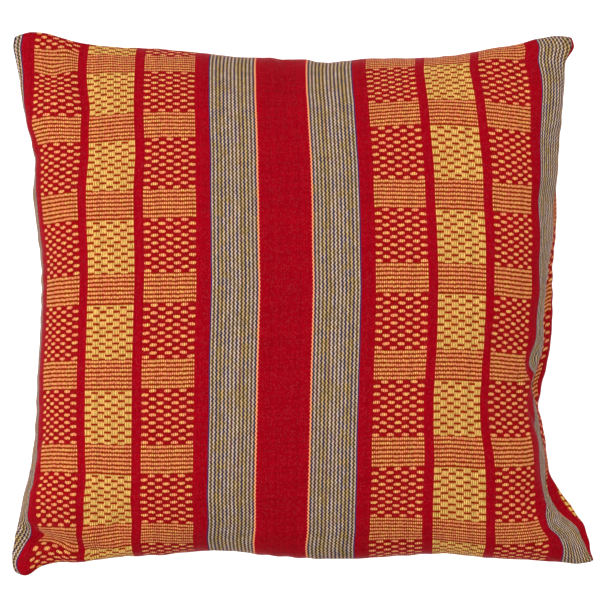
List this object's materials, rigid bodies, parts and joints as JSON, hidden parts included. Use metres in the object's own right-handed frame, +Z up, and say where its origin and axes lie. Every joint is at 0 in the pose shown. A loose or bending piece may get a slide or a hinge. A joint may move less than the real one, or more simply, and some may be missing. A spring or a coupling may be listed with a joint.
{
  "type": "cushion",
  "caption": "Square stuffed scatter pillow in a hand-woven striped and checked cotton cover, with drawn-in sides and small ear corners, lying on its back.",
  "frame": {"origin": "centre of the bounding box's footprint, on the surface that the cushion lies on", "axes": "+Z up, out of the cushion's show face; +Y towards the edge that is at the top of the picture; +X towards the picture's right"},
  "size_m": [0.4504, 0.4184, 0.1345],
  "materials": {
    "woven_cloth": "matte hand-woven cotton, red with yellow checks and grey stripes"
  },
  "bodies": {
    "root": {"pillow": "woven_cloth"}
  },
  "joints": []
}
